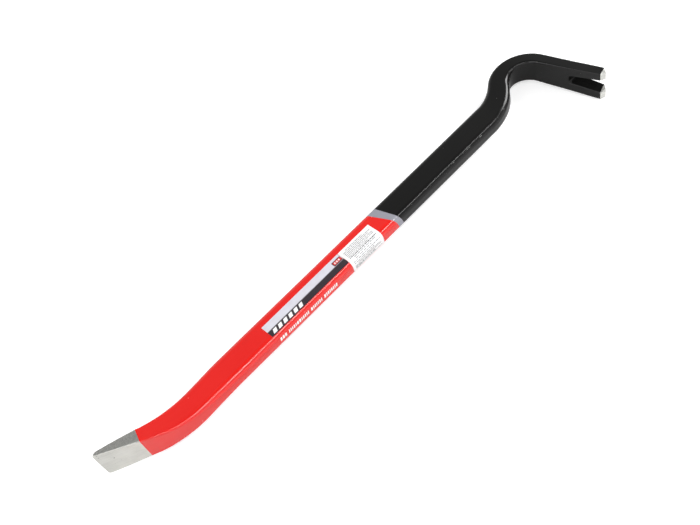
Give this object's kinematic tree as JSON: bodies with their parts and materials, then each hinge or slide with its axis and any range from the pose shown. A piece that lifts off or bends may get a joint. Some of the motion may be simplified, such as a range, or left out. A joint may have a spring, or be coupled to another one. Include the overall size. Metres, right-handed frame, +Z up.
{
  "type": "pry bar",
  "caption": "Gooseneck pry bar: a painted forged shank with a flared bare-steel chisel at one end and a hooked, slotted nail claw at the other.",
  "frame": {"origin": "middle of the underside of the bounding box, with the bar lying on its side", "axes": "+X along the shank from the chisel to the hook; +Y across the shank in the plane of the bends, away from the side the claw hangs towards; +Z up, across the width of the bar"},
  "size_m": [0.6, 0.103, 0.036],
  "materials": {
    "bare_steel": "ground forged steel with fine lengthwise marks, thinly lacquered",
    "red_paint": "gloss red lacquer with slight orange peel and rubbed edges",
    "grey_paint": "gloss grey lacquer stripe",
    "black_paint": "gloss black lacquer with slight orange peel and rubbed claw edges",
    "label_film": "printed self-adhesive film, pale with a dark stripe",
    "label_paper": "coated white paper with faint grey ruled lines"
  },
  "bodies": {
    "root": {"forged_bar": "bare_steel", "red_coat": "red_paint", "grey_band": "grey_paint", "black_coat": "black_paint", "film_label": "label_film", "paper_label": "label_paper"}
  },
  "joints": []
}
